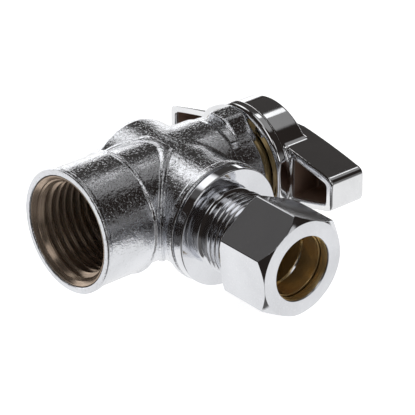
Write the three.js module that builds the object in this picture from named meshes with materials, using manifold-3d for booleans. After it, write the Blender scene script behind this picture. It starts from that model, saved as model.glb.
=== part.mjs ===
// Quarter-turn angle stop valve: pipe-thread inlet, compression outlet, two-winged lever.
// Millimetres, +Z up. The origin is the centre of the inlet mouth; the inlet opens towards -Y,
// the outlet tube leaves towards +X, and the lever turns about +Y on the far side of the inlet.

import * as THREE from 'three';
import { mergeVertices } from 'three/addons/utils/BufferGeometryUtils.js';
import Module from 'manifold-3d';

const wasm = await Module();
wasm.setup();

// ---- driving dimensions ----
const ROUND = 32; // segments round a turned piece
const SMALL_ROUND = 20; // segments round a small, threaded or hidden piece
const FIT = 0.3; // gap between neighbouring pieces
const EPS = 0.5; // how far a cutter runs past the face that it opens

const AXES_Y = 26; // outlet axis, measured from the inlet mouth
const SOCKET_R = 12.6;
const SOCKET_RIM_R = 13;
const SOCKET_STEP_Y = 12.7; // fine raised ring where the socket meets the body
const NECK_R = 12.3; // cast neck
const NECK_END_Y = 37.1;
const JOURNAL_R = 10.7; // machined nose of the neck
const JOURNAL_END_Y = 43.5;

const INLET_PITCH = 1.814; // 1/2-14 pipe thread
const INLET_CREST_R = 9.35;
const INLET_ROOT_R = 10.55;
const INLET_MOUTH_R = 11.44; // outer edge of the mouth's chamfer
const INLET_THREAD_END_Y = 13.3;
const INLET_FLOOR_Y = 15.4;
const PORT_R = 4.8; // water way through the body, seats and adapter

const BARREL_BACK_X = -12.8;
const BARREL_BOSS_X = [-10.6, -8.2]; // raised band at the closed end
const BARREL_BOSS_R = 12.1;
const BARREL_END_X = 16.2;
const BARREL_R = 11.7;
const BARREL_BORE_R = 8.4;
const BARREL_BORE_BACK_X = -9.6;
const OUTLET_BORE_X = 14.7; // wider mouth for the adapter's o-ring
const OUTLET_BORE_R = 9.9;
const COLLAR_R = 12.7;
const COLLAR_X = [14.3, 15.8];

const BALL_R = 7.5;
const BALL_PORT_R = PORT_R - 0.2;
const SEAT_NEAR = 3.45; // seat ring, measured along the outlet from the ball's centre
const SEAT_FAR = 8.2;
const SEAT_CUP_R = 7; // where the seat's cone meets its outer rim
const SEAT_CUP_FAR = 6.25;
const SEAT_BORE_R = PORT_R + 0.1;
const BALL_SLOT_FLOOR = 5.4; // above the ball's centre
const TANG_WIDTH = 2.8;
const TANG_LENGTH = 6;

const STEM_R = 5; // sealed journal
const STEM_BOTTOM_Y = 34.5;
const STEM_SHAFT_R = 4.1;
const STEM_SQUARE = 5.4;
const STEM_SQUARE_Y = 48.9;
const STEM_TOP_Y = 53.9;
const STEM_FLANGE_R = 7;
const STEM_FLANGE_Y = [39.2, 40.1];
const STEM_O_RING_YS = [35.6, 37.6];
const O_RING_SECTION_R = 0.55;
const THRUST_WASHER_Y = [38.4, 39];
const PACKING_Y = [40.3, 41.2];
const PACKING_WASHER_Y = [41.35, 41.85];
const GLAND_BORE_R = 8.2; // counterbore in the neck
const GLAND_BORE_Y = 38.2;
const GLAND_R = 9.9;
const GLAND_START_Y = 42;
const GLAND_END_Y = 45.8;

const LUG_LEFT = -2.7; // stop lug, along X
const LUG_RIGHT = 1.6;
const LUG_START_Y = 39.4;
const LUG_ROOT_Z = 8.5;
const LUG_TOP_Z = 14; // over the turned top that trims it
const LUG_FLARE_LEFT = 2; // how far the lug widens down to its root
const LUG_FLARE_RIGHT = 3.4;
const LUG_R = 12.9;
const LUG_TONGUE_R = 11.6; // part of the lug that reaches into the lever's skirt
const LUG_TONGUE_END_Y = 46.3;
const LUG_PAD_X = [-6, 6.5]; // where the neck's full width runs on to the lug

const SKIRT_FRONT_Y = 45.1;
const SKIRT_BACK_Y = 47.6;
const SKIRT_R = 13.5;
const SKIRT_BORE_R = 12;
const SKIRT_FLOOR_Y = 49.2;
const HUB_R = 12.5;
const HUB_RIM_Y = 54.4;
const WING_FRONT_Y = 48.6;
const WING_BACK_Y = 57.6;
const WING_LENGTHS = [24.4, 25.2]; // from the axis to the tip, towards +X and -X
const WING_TIP_HALF = 3.45;
const WING_MIDDLE = [16, 5.45]; // the sides bulge a little here: place and half width
const WING_ROOT_HALF = 7;
const WING_RISE = 0.5; // the wings' middle above the hub's
const WING_ROOT_X = 7; // where the wings start to narrow
const WING_NOSE = 0.8; // chamfer at the tips
const WING_WALL = 1.7;
const WING_ROOF = 1.8;
const POCKET_START_X = 12.7;
const LEVER_TILT = THREE.MathUtils.degToRad(-2); // slack against the stop, about +Y
const STOP_START = 66; // degrees from +X towards +Z, where the stop sector ends beside the lug
const STOP_GAP = 132; // degrees of free space for the lug
const STOP_INNER_R = 10.4;

const SCREW_HEAD_R = 4.3;
const SCREW_R = 1.7;
const SCREW_TIP_Y = 47.6;
const SCREW_SEAT_Y = 54.3;
const SCREW_BLADE_HALF = 2.1; // cross recess
const SCREW_BLADE_WIDTH = 0.9;

const FLANGE_BACK_X = 16.5;
const FLANGE_FRONT_X = 18.84;
const FLANGE_R = 12.5;
const SPIGOT_BACK_X = 9.7; // plain spigot that presses the outlet seat
const SPIGOT_R = 8.1;
const TUBE_PITCH = 1.27; // 11/16-20 compression thread
const TUBE_CREST_R = 8.65;
const TUBE_ROOT_R = 7.75;
const TUBE_THREAD_X = 20.8;
const ADAPTER_END_X = 34;
const TUBE_SOCKET_R = 6.5;
const TUBE_STOP_X = 28;
const TUBE_LEAD_IN = 1.4; // cone that the sleeve seats in

const NUT_BACK_X = 27.56;
const NUT_FRONT_X = 40.27;
const NUT_FLATS = 19.9;
const NUT_CORNER_ANGLE = 96.68; // degrees from +Y towards +Z
const NUT_FACE_R = 9.97;
const NUT_HOLE_R = 6.715;
const NUT_CHAMFER = 1.54;
const NUT_BACK_CHAMFER = 0.9;
const NUT_THREAD_END_X = 35.8;
const NUT_CONE_X = [36.7, 38.3]; // cone that presses the sleeve

const SLEEVE_BORE_R = 6.42;
const SLEEVE_R = 7.7;
const SLEEVE_X = [33.3, 37.9];
const SLEEVE_BAND_X = [35, 36.2]; // where it is full width

const ADAPTER_O_RING = [9.05, 0.6, 15.55]; // middle radius, section radius, place along the outlet
const OUTLET_SEAT_O_RING = [6.8, 0.5, 8.95];
const BACK_SEAT_O_RING = [6.8, 0.5, -8.85];

// ---- materials ----
const finish = (color, roughness, metalness) =>
  new THREE.MeshStandardMaterial({ color, roughness, metalness });
const castChrome = () => finish(0xb9bcc2, 0.28, 1);
const polishedChrome = () => finish(0xd4d6da, 0.12, 1);
const brass = () => finish(0xb8923f, 0.35, 1);
const steel = () => finish(0x9a9da1, 0.35, 1);
const ptfe = () => finish(0xeeece6, 0.6, 0);
const rubber = () => finish(0x1b1b1c, 0.8, 0);

// ---- helpers ----

// Closed shape turned about +Y from a profile of [radius, height] points.
function turned(profile, segments = ROUND) {
  const points = profile.map(([r, y]) => new THREE.Vector2(r, y));
  return new THREE.LatheGeometry(points, segments);
}

// Plain turned disc or bar between two heights.
const disc = (radius, from, to, segments = ROUND) =>
  turned([[0, from], [radius, from], [radius, to], [0, to]], segments);

// Ring with a rectangular section.
const ring = (inner, outer, from, to, segments = SMALL_ROUND) =>
  turned([[inner, from], [outer, from], [outer, to], [inner, to], [inner, from]], segments);

// Ring with a round section, such as an O-ring.
function roundRing(middleR, sectionR, height) {
  const steps = 6;
  const profile = [];
  for (let k = 0; k <= steps; k += 1) {
    const a = (2 * Math.PI * (k % steps)) / steps;
    profile.push([middleR + sectionR * Math.cos(a), height + sectionR * Math.sin(a)]);
  }
  return turned(profile, SMALL_ROUND);
}

// Turns a shape made about +Y so that its axis lies along the outlet, +X at AXES_Y.
function alongOutlet(geometry) {
  return geometry.rotateZ(-Math.PI / 2).translate(0, AXES_Y, 0);
}

// Prism of an outline of [x, z] points between two heights along Y.
function prismY(outline, from, to) {
  const shape = new THREE.Shape(outline.map(([x, z]) => new THREE.Vector2(x, -z)));
  const prism = new THREE.ExtrudeGeometry(shape, { depth: to - from, bevelEnabled: false });
  return prism.rotateX(-Math.PI / 2).translate(0, from, 0);
}

function box(x0, x1, y0, y1, z0, z1) {
  const geometry = new THREE.BoxGeometry(x1 - x0, y1 - y0, z1 - z0);
  return geometry.translate((x0 + x1) / 2, (y0 + y1) / 2, (z0 + z1) / 2);
}

// Three.js geometry to a manifold solid: shared vertices merged, collapsed triangles dropped.
function solid(geometry) {
  const bare = geometry.clone();
  bare.deleteAttribute('normal');
  bare.deleteAttribute('uv');
  const merged = mergeVertices(bare, 1e-4);
  const index = merged.index.array;
  const triangles = [];
  for (let t = 0; t < index.length; t += 3) {
    const [a, b, c] = [index[t], index[t + 1], index[t + 2]];
    if (a !== b && b !== c && c !== a) triangles.push(a, b, c);
  }
  const mesh = new wasm.Mesh({
    numProp: 3,
    vertProperties: new Float32Array(merged.attributes.position.array),
    triVerts: new Uint32Array(triangles),
  });
  mesh.merge();
  return new wasm.Manifold(mesh);
}

// Manifold solid back to a three.js geometry.
function geometryOf(manifold) {
  const mesh = manifold.getMesh();
  const geometry = new THREE.BufferGeometry();
  geometry.setAttribute('position', new THREE.BufferAttribute(mesh.vertProperties, 3));
  geometry.setIndex(new THREE.BufferAttribute(mesh.triVerts, 1));
  geometry.computeVertexNormals();
  return geometry;
}

const joined = (...geometries) => geometries.map(solid).reduce((sum, next) => sum.add(next));
const cut = (base, ...cutters) =>
  cutters.map(solid).reduce((left, next) => left.subtract(next), base);

// Bar with a right-hand helical thread about +Y, from height `from` to at least `to`.
// Its rows follow the helix, so going once round meets the row one pitch higher.
function threadedBar(rootR, crestR, pitch, from, to) {
  const profile = [[rootR, 0], [crestR, 0.5]];
  const perTurn = profile.length;
  const turns = Math.ceil((to - from) / pitch) + 2;
  const rows = perTurn * turns + 1;
  const start = from - pitch * 1.5;
  const positions = [];
  const index = [];
  const at = (column, row) => (column === SMALL_ROUND ? row + perTurn : column * rows + row);
  for (let column = 0; column < SMALL_ROUND; column += 1) {
    const turn = column / SMALL_ROUND;
    const angle = 2 * Math.PI * turn;
    for (let row = 0; row < rows; row += 1) {
      const [radius, share] = profile[row % perTurn];
      const height = start + pitch * (Math.floor(row / perTurn) + share + turn);
      positions.push(radius * Math.sin(angle), height, radius * Math.cos(angle));
    }
  }
  for (let column = 0; column < SMALL_ROUND; column += 1) {
    const last = column === SMALL_ROUND - 1 ? rows - 1 - perTurn : rows - 1;
    for (let row = 0; row < last; row += 1) {
      const [a, b] = [at(column, row), at(column + 1, row)];
      const [c, d] = [at(column + 1, row + 1), at(column, row + 1)];
      index.push(a, b, c, a, c, d);
    }
  }
  const low = [];
  const high = [];
  for (let column = 0; column <= SMALL_ROUND; column += 1) low.push(at(column, 0));
  for (let row = perTurn - 1; row > 0; row -= 1) low.push(at(0, row));
  for (let column = 0; column < SMALL_ROUND; column += 1) high.push(at(column, rows - 1));
  for (let row = 2; row <= perTurn + 1; row += 1) high.push(at(SMALL_ROUND - 1, rows - row));
  const bottom = positions.length / 3;
  positions.push(0, start, 0, 0, start + pitch * (turns + 1), 0);
  low.forEach((p, k) => index.push(bottom, low[(k + 1) % low.length], p));
  high.forEach((p, k) => index.push(bottom + 1, p, high[(k + 1) % high.length]));
  const geometry = new THREE.BufferGeometry();
  geometry.setAttribute('position', new THREE.Float32BufferAttribute(positions, 3));
  geometry.setIndex(index);
  return geometry;
}

// Threaded bar trimmed flat at both ends.
const trimmedThread = (rootR, crestR, pitch, from, to) =>
  solid(threadedBar(rootR, crestR, pitch, from, to)).intersect(solid(disc(crestR + 1, from, to)));

const group = new THREE.Group();
const outlet = new THREE.Group(); // local +Y runs along the outlet
outlet.position.set(0, AXES_Y, 0);
outlet.rotation.z = -Math.PI / 2;
const lever = new THREE.Group(); // everything that the lever turns
lever.rotation.y = LEVER_TILT;
group.add(outlet, lever);

function addPiece(parent, name, shape, material) {
  const geometry = shape.isBufferGeometry ? shape : geometryOf(shape);
  const mesh = new THREE.Mesh(geometry, material);
  mesh.name = name;
  parent.add(mesh);
}

// ---- valve body ----

function castOutside() {
  const inletAndNeck = turned([
    [0, 0], [SOCKET_RIM_R, 0], [SOCKET_RIM_R, 1.2], [SOCKET_R, 1.8],
    [SOCKET_R, SOCKET_STEP_Y - 0.4], [SOCKET_RIM_R, SOCKET_STEP_Y - 0.2],
    [SOCKET_RIM_R, SOCKET_STEP_Y + 0.3], [NECK_R, SOCKET_STEP_Y + 1],
    [NECK_R, NECK_END_Y], [JOURNAL_R, NECK_END_Y + 0.2], [JOURNAL_R, JOURNAL_END_Y],
    [0, JOURNAL_END_Y],
  ]);
  const barrel = alongOutlet(turned([
    [0, BARREL_BACK_X], [BARREL_R - 2.5, BARREL_BACK_X], [BARREL_R - 0.5, BARREL_BACK_X + 0.7],
    [BARREL_BOSS_R, BARREL_BOSS_X[0]], [BARREL_BOSS_R, BARREL_BOSS_X[1]],
    [BARREL_R, BARREL_BOSS_X[1] + 0.8], [BARREL_R, COLLAR_X[0] - 0.3],
    [COLLAR_R, COLLAR_X[0]], [COLLAR_R, COLLAR_X[1]],
    [COLLAR_R - 0.4, BARREL_END_X], [0, BARREL_END_X],
  ]));
  return joined(inletAndNeck, barrel).add(stopLug());
}

// Lug on top of the neck's nose: a flared block, with a tongue into the lever's skirt.
function stopLug() {
  const flared = [[LUG_LEFT - LUG_FLARE_LEFT, LUG_ROOT_Z], [LUG_RIGHT + LUG_FLARE_RIGHT, LUG_ROOT_Z],
    [LUG_RIGHT, LUG_R - 0.8], [LUG_RIGHT, LUG_TOP_Z], [LUG_LEFT, LUG_TOP_Z], [LUG_LEFT, LUG_R - 1.1]];
  const straight = [[LUG_LEFT, LUG_ROOT_Z], [LUG_RIGHT, LUG_ROOT_Z],
    [LUG_RIGHT, LUG_TOP_Z], [LUG_LEFT, LUG_TOP_Z]];
  const under = (radius, outline, from, to) =>
    solid(prismY(outline, from, to)).intersect(solid(disc(radius, from - EPS, to + EPS)));
  const block = under(LUG_R, flared, LUG_START_Y, JOURNAL_END_Y - EPS);
  const riser = under(LUG_R, straight, LUG_START_Y, SKIRT_FRONT_Y - FIT);
  const tongue = under(LUG_TONGUE_R, straight, LUG_START_Y, LUG_TONGUE_END_Y);
  const underneath = solid(disc(GLAND_R + FIT, JOURNAL_END_Y, SKIRT_FLOOR_Y));
  const pad = solid(disc(NECK_R, NECK_END_Y - 1, LUG_START_Y + 0.2)).intersect(
    solid(box(...LUG_PAD_X, NECK_END_Y - 1, LUG_START_Y + 1, LUG_ROOT_Z, NECK_R + 1)));
  return block.add(riser).add(tongue).add(pad).subtract(underneath);
}

function valveBody() {
  const boreR = INLET_CREST_R - 0.4; // lies wholly inside the thread that is cut round it
  const drillR = PORT_R + 0.8;
  const inletBore = turned([
    [0, -EPS], [INLET_MOUTH_R + EPS, -EPS], [boreR, INLET_MOUTH_R - boreR],
    [boreR, INLET_THREAD_END_Y + 0.6],
    [drillR, INLET_FLOOR_Y], [drillR, AXES_Y], [0, AXES_Y],
  ]);
  const barrelBore = alongOutlet(turned([
    [0, BARREL_BORE_BACK_X], [BARREL_BORE_R, BARREL_BORE_BACK_X], [BARREL_BORE_R, OUTLET_BORE_X],
    [OUTLET_BORE_R, OUTLET_BORE_X], [OUTLET_BORE_R, BARREL_END_X + EPS], [0, BARREL_END_X + EPS],
  ]));
  const stemBore = turned([
    [0, AXES_Y], [STEM_R + FIT, AXES_Y], [STEM_R + FIT, GLAND_BORE_Y],
    [GLAND_BORE_R, GLAND_BORE_Y], [GLAND_BORE_R, JOURNAL_END_Y + EPS], [0, JOURNAL_END_Y + EPS],
  ]);
  return cut(castOutside(), inletBore, barrelBore, stemBore).subtract(
    trimmedThread(INLET_CREST_R, INLET_ROOT_R, INLET_PITCH, 1, INLET_THREAD_END_Y));
}

// ---- outlet side: shapes turned about the outlet axis ----

function outletAdapter() {
  const shankR = TUBE_ROOT_R - 0.25; // lies wholly inside the thread
  const mouthR = TUBE_SOCKET_R + 1;
  const leadInX = ADAPTER_END_X - TUBE_LEAD_IN;
  const shell = turned([
    [PORT_R, SPIGOT_BACK_X], [SPIGOT_R, SPIGOT_BACK_X], [SPIGOT_R, FLANGE_BACK_X],
    [FLANGE_R, FLANGE_BACK_X], [FLANGE_R, FLANGE_FRONT_X - 0.4], [FLANGE_R - 0.4, FLANGE_FRONT_X],
    [shankR + 0.7, FLANGE_FRONT_X], [shankR, FLANGE_FRONT_X + 0.6], [shankR, ADAPTER_END_X],
    [mouthR, ADAPTER_END_X], [TUBE_SOCKET_R, leadInX], [TUBE_SOCKET_R, TUBE_STOP_X],
    [PORT_R, TUBE_STOP_X], [PORT_R, SPIGOT_BACK_X],
  ]);
  const bore = turned([
    [0, FLANGE_BACK_X], [PORT_R, FLANGE_BACK_X], [PORT_R, TUBE_STOP_X], [TUBE_SOCKET_R, TUBE_STOP_X],
    [TUBE_SOCKET_R, leadInX], [mouthR, ADAPTER_END_X], [mouthR, ADAPTER_END_X + 1],
    [0, ADAPTER_END_X + 1],
  ]);
  const thread = cut(
    trimmedThread(TUBE_ROOT_R, TUBE_CREST_R, TUBE_PITCH, TUBE_THREAD_X, ADAPTER_END_X - 0.3), bore);
  return solid(shell).add(thread);
}

// Seat ring that cups the ball; `side` is 1 on the outlet side and -1 on the closed side.
function seatRing(side) {
  const outerR = BARREL_BORE_R - FIT;
  const profile = [[SEAT_BORE_R, SEAT_CUP_FAR], [SEAT_CUP_R, SEAT_NEAR], [outerR, SEAT_NEAR],
    [outerR, SEAT_FAR], [SEAT_BORE_R, SEAT_FAR], [SEAT_BORE_R, SEAT_CUP_FAR]];
  const geometry = turned(profile, SMALL_ROUND);
  return side > 0 ? geometry : geometry.rotateX(Math.PI);
}

function compressionNut() {
  const cornerR = NUT_FLATS / Math.sqrt(3);
  const corners = [];
  for (let k = 0; k < 6; k += 1) {
    const a = THREE.MathUtils.degToRad(NUT_CORNER_ANGLE + 60 * k);
    corners.push([-cornerR * Math.cos(a), cornerR * Math.sin(a)]); // local X is -Y
  }
  const chamfered = turned([
    [0, NUT_BACK_X], [cornerR - NUT_BACK_CHAMFER, NUT_BACK_X], [cornerR + 0.02, NUT_BACK_X + 0.6],
    [cornerR + 0.02, NUT_FRONT_X - NUT_CHAMFER], [NUT_FACE_R, NUT_FRONT_X], [0, NUT_FRONT_X],
  ]);
  const hex = solid(prismY(corners, NUT_BACK_X - 1, NUT_FRONT_X + 1)).intersect(solid(chamfered));
  const boreR = TUBE_ROOT_R + 0.1; // lies wholly inside the thread
  const bore = turned([
    [0, NUT_BACK_X - EPS], [TUBE_CREST_R + 0.6, NUT_BACK_X - EPS], [boreR, NUT_BACK_X + 0.9],
    [boreR, NUT_THREAD_END_X - 0.3], [TUBE_ROOT_R + FIT, NUT_THREAD_END_X - 0.1],
    [TUBE_ROOT_R + FIT, NUT_CONE_X[0]], [NUT_HOLE_R, NUT_CONE_X[1]],
    [NUT_HOLE_R, NUT_FRONT_X - 0.3], [NUT_HOLE_R + 0.6, NUT_FRONT_X + 0.3], [0, NUT_FRONT_X + 0.3],
  ]);
  return cut(hex, bore).subtract(nutThread());
}

// The nut's thread is the adapter's, grown by the fit and in step with it.
function nutThread() {
  const turnsAhead = Math.floor((NUT_BACK_X - 1 - TUBE_THREAD_X) / TUBE_PITCH);
  const from = TUBE_THREAD_X + turnsAhead * TUBE_PITCH;
  const bar = threadedBar(TUBE_ROOT_R + FIT, TUBE_CREST_R + FIT, TUBE_PITCH, from, NUT_THREAD_END_X);
  return solid(bar).intersect(solid(disc(TUBE_CREST_R + 1, NUT_BACK_X - EPS, NUT_THREAD_END_X)));
}

const compressionSleeve = () => turned([
  [SLEEVE_BORE_R, SLEEVE_X[0]], [SLEEVE_BORE_R + 0.2, SLEEVE_X[0]], [SLEEVE_R, SLEEVE_BAND_X[0]],
  [SLEEVE_R, SLEEVE_BAND_X[1]], [SLEEVE_BORE_R + 0.35, SLEEVE_X[1]], [SLEEVE_BORE_R, SLEEVE_X[1]],
  [SLEEVE_BORE_R, SLEEVE_X[0]],
]);

// ---- ball, stem and gland: turned about +Y ----

function ball() {
  const sphere = new THREE.SphereGeometry(BALL_R, 24, 14);
  const inletPort = disc(BALL_PORT_R, -BALL_R - 1, 0, SMALL_ROUND);
  const sidePort = disc(BALL_PORT_R, 0, BALL_R + 1, SMALL_ROUND).rotateZ(-Math.PI / 2);
  const elbow = new THREE.SphereGeometry(BALL_PORT_R, SMALL_ROUND, 8);
  const slotHalf = TANG_WIDTH / 2 + FIT;
  const slot = box(-BALL_R, BALL_R, BALL_SLOT_FLOOR, BALL_R + 1, -slotHalf, slotHalf);
  return cut(solid(sphere), inletPort, sidePort, elbow, slot);
}

function stem() {
  const groove = (y) => [
    [STEM_R, y - 0.7], [STEM_R - 1, y - 0.7], [STEM_R - 1, y + 0.7], [STEM_R, y + 0.7]];
  const shaft = turned([
    [0, STEM_BOTTOM_Y], [STEM_R, STEM_BOTTOM_Y], ...STEM_O_RING_YS.flatMap(groove),
    [STEM_R, STEM_FLANGE_Y[0]], [STEM_FLANGE_R, STEM_FLANGE_Y[0]],
    [STEM_FLANGE_R, STEM_FLANGE_Y[1]], [STEM_SHAFT_R, STEM_FLANGE_Y[1]],
    [STEM_SHAFT_R, STEM_SQUARE_Y], [0, STEM_SQUARE_Y],
  ], SMALL_ROUND);
  const half = STEM_SQUARE / 2;
  const square = box(-half, half, STEM_SQUARE_Y - 1, STEM_TOP_Y, -half, half);
  const tang = box(-TANG_LENGTH / 2, TANG_LENGTH / 2, AXES_Y + BALL_SLOT_FLOOR + FIT,
    STEM_BOTTOM_Y + 0.5, -TANG_WIDTH / 2, TANG_WIDTH / 2);
  const screwHole = disc(SCREW_R + FIT, SCREW_TIP_Y - 0.6, STEM_TOP_Y + 1, SMALL_ROUND);
  return cut(joined(shaft, square, tang), screwHole);
}

const packingGland = () => turned([
  [STEM_SHAFT_R + FIT, GLAND_START_Y], [GLAND_BORE_R - FIT, GLAND_START_Y],
  [GLAND_BORE_R - FIT, JOURNAL_END_Y + 0.2],
  [GLAND_R, JOURNAL_END_Y + 0.3], [GLAND_R, GLAND_END_Y - 0.4], [GLAND_R - 0.4, GLAND_END_Y],
  [STEM_SHAFT_R + FIT, GLAND_END_Y], [STEM_SHAFT_R + FIT, GLAND_START_Y],
]);

// ---- lever ----

// Half the width of a wing at a distance from the axis.
function wingHalf(x, length) {
  const [middleX, middleHalf] = WING_MIDDLE;
  const between = THREE.MathUtils.mapLinear;
  if (x > middleX) return between(x, middleX, length, middleHalf, WING_TIP_HALF);
  return between(Math.max(x, WING_ROOT_X), WING_ROOT_X, middleX, WING_ROOT_HALF, middleHalf);
}

// Outline of one wing, narrowing to the tip, shrunk by `inset`; `side` is 1 towards +X, -1 towards -X.
function wingOutline(side, inset, from) {
  const length = WING_LENGTHS[side > 0 ? 0 : 1];
  const tip = length - inset;
  const places = [from, WING_ROOT_X, WING_MIDDLE[0], tip - WING_NOSE].filter((x) => x >= from);
  const upper = [...new Set(places)].map((x) => [x, wingHalf(x, length) - inset]);
  upper.push([tip, wingHalf(tip, length) - inset - WING_NOSE]);
  const lower = upper.map(([x, z]) => [x, -z]).reverse();
  return [...upper, ...lower].map(([x, z]) => [side * x, z + WING_RISE]);
}

const wings = (inset, from, y0, y1) =>
  [1, -1].map((side) => prismY(wingOutline(side, inset, from), y0, y1));

// The sector inside the skirt that meets the lug at both ends of the quarter turn.
function stopSector() {
  const start = STOP_START - THREE.MathUtils.radToDeg(-LEVER_TILT);
  const sweep = 360 - STOP_GAP;
  const steps = 20;
  const arc = (radius, k) => {
    const a = THREE.MathUtils.degToRad(start - (sweep * k) / steps);
    return [radius * Math.cos(a), radius * Math.sin(a)];
  };
  const outline = [];
  for (let k = 0; k <= steps; k += 1) outline.push(arc(SKIRT_BORE_R + 0.4, k));
  for (let k = steps; k >= 0; k -= 1) outline.push(arc(STOP_INNER_R, k));
  return prismY(outline, SKIRT_FRONT_Y + 0.3, SKIRT_FLOOR_Y + 0.5);
}

function leverHandle() {
  const hub = turned([
    [0, SKIRT_FRONT_Y], [SKIRT_R - 0.2, SKIRT_FRONT_Y], [SKIRT_R, SKIRT_FRONT_Y + 0.2],
    [SKIRT_R, SKIRT_BACK_Y - 0.4], [HUB_R, SKIRT_BACK_Y], [HUB_R, HUB_RIM_Y - 0.6],
    [HUB_R - 0.6, HUB_RIM_Y], [0, HUB_RIM_Y],
  ]);
  const outside = joined(hub, ...wings(0, 0, WING_FRONT_Y, WING_BACK_Y));
  const recess = disc(SKIRT_BORE_R, SKIRT_FRONT_Y - EPS, SKIRT_FLOOR_Y);
  const pockets = wings(WING_WALL, POCKET_START_X, SKIRT_FRONT_Y, WING_BACK_Y - WING_ROOF);
  const half = STEM_SQUARE / 2 + FIT;
  const squareHole = box(-half, half, SKIRT_FLOOR_Y - 1, SCREW_SEAT_Y + 1, -half, half);
  const screwWell = disc(SCREW_HEAD_R + 0.7, SCREW_SEAT_Y, WING_BACK_Y + 1, SMALL_ROUND);
  const skirtRoom = solid(disc(HUB_R, SKIRT_FRONT_Y - 1, WING_FRONT_Y)); // stays whole beside the pockets
  const hollowed = pockets.reduce(
    (left, pocket) => left.subtract(solid(pocket).subtract(skirtRoom)), cut(outside, recess));
  return cut(hollowed.add(solid(stopSector())), squareHole, screwWell);
}

function handleScrew() {
  const shape = turned([
    [0, SCREW_TIP_Y], [SCREW_R - 0.5, SCREW_TIP_Y], [SCREW_R, SCREW_TIP_Y + 0.6],
    [SCREW_R, SCREW_SEAT_Y + 1.1], [SCREW_HEAD_R, SCREW_SEAT_Y + 1.1],
    [SCREW_HEAD_R, SCREW_SEAT_Y + 1.9], [SCREW_HEAD_R - 1.2, SCREW_SEAT_Y + 2.7],
    [0, SCREW_SEAT_Y + 3],
  ], SMALL_ROUND);
  const top = SCREW_SEAT_Y + 4;
  const long = SCREW_BLADE_HALF;
  const wide = SCREW_BLADE_WIDTH / 2;
  const recess = [[long, wide], [wide, long]].map(([x, z]) => box(-x, x, top - 2.6, top, -z, z));
  return cut(solid(shape), ...recess);
}

// ---- assembly ----
addPiece(group, 'valve_body', valveBody(), castChrome());
addPiece(outlet, 'outlet_adapter', outletAdapter(), polishedChrome());
addPiece(outlet, 'adapter_o_ring', roundRing(...ADAPTER_O_RING), rubber());
addPiece(outlet, 'outlet_seat', seatRing(1), ptfe());
addPiece(outlet, 'outlet_seat_o_ring', roundRing(...OUTLET_SEAT_O_RING), rubber());
addPiece(outlet, 'back_seat', seatRing(-1), ptfe());
addPiece(outlet, 'back_seat_o_ring', roundRing(...BACK_SEAT_O_RING), rubber());
addPiece(outlet, 'compression_sleeve', compressionSleeve(), brass());
addPiece(outlet, 'compression_nut', compressionNut(), polishedChrome());

const neckRing = (innerR, [from, to]) => ring(innerR, GLAND_BORE_R - FIT, from, to);
addPiece(group, 'stem_thrust_washer', neckRing(STEM_R + FIT, THRUST_WASHER_Y), ptfe());
addPiece(group, 'stem_packing', neckRing(STEM_SHAFT_R + 0.2, PACKING_Y), ptfe());
addPiece(group, 'packing_washer', neckRing(STEM_SHAFT_R + FIT, PACKING_WASHER_Y), brass());
addPiece(group, 'packing_gland', packingGland(), brass());

addPiece(group, 'ball', geometryOf(ball()).translate(0, AXES_Y, 0), polishedChrome());
addPiece(lever, 'stem', stem(), brass());
STEM_O_RING_YS.forEach((y, k) => {
  const name = ['stem_o_ring_lower', 'stem_o_ring_upper'][k];
  addPiece(lever, name, roundRing(STEM_R - 0.37, O_RING_SECTION_R, y), rubber());
});
addPiece(lever, 'handle', leverHandle(), polishedChrome());
addPiece(lever, 'screw_lock_washer',
  ring(SCREW_R + 0.6, SCREW_HEAD_R + 0.2, SCREW_SEAT_Y + 0.2, SCREW_SEAT_Y + 0.9), steel());
addPiece(lever, 'handle_screw', handleScrew(), steel());

export default group;
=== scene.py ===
"""Quarter-turn angle stop valve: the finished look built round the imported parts.

The shapes are worked out in millimetres and turned into metres when a mesh is made.
X runs along the outlet, Y from the inlet mouth towards the lever, Z up.
"""

import math

import bmesh
import bpy
import numpy as np
from mathutils import Matrix, Vector, noise


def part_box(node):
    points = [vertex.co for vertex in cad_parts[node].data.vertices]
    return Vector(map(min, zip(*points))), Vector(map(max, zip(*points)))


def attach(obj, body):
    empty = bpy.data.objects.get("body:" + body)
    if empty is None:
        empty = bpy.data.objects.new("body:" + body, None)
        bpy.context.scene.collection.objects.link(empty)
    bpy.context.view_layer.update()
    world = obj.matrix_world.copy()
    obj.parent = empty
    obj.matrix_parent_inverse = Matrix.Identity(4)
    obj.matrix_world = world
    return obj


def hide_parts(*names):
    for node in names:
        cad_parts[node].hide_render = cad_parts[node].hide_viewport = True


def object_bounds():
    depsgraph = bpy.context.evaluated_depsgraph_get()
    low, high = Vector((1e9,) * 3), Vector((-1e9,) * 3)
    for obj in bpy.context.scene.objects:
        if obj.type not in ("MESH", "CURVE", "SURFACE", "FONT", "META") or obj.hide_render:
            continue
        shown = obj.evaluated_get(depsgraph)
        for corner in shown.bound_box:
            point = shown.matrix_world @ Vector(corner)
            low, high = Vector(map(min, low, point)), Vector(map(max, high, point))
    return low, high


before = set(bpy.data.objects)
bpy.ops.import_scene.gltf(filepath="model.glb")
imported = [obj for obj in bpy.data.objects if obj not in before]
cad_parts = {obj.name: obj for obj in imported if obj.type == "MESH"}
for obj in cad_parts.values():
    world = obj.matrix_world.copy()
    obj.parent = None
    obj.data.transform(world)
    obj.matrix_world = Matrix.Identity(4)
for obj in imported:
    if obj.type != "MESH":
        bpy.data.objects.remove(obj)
CAD_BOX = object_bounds()

MM = 0.001
TURN = 2 * math.pi


def extent(node):
    """Lowest and highest corner of a CAD node, in millimetres."""
    low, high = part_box(node)
    return np.array(low) / MM, np.array(high) / MM


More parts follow.
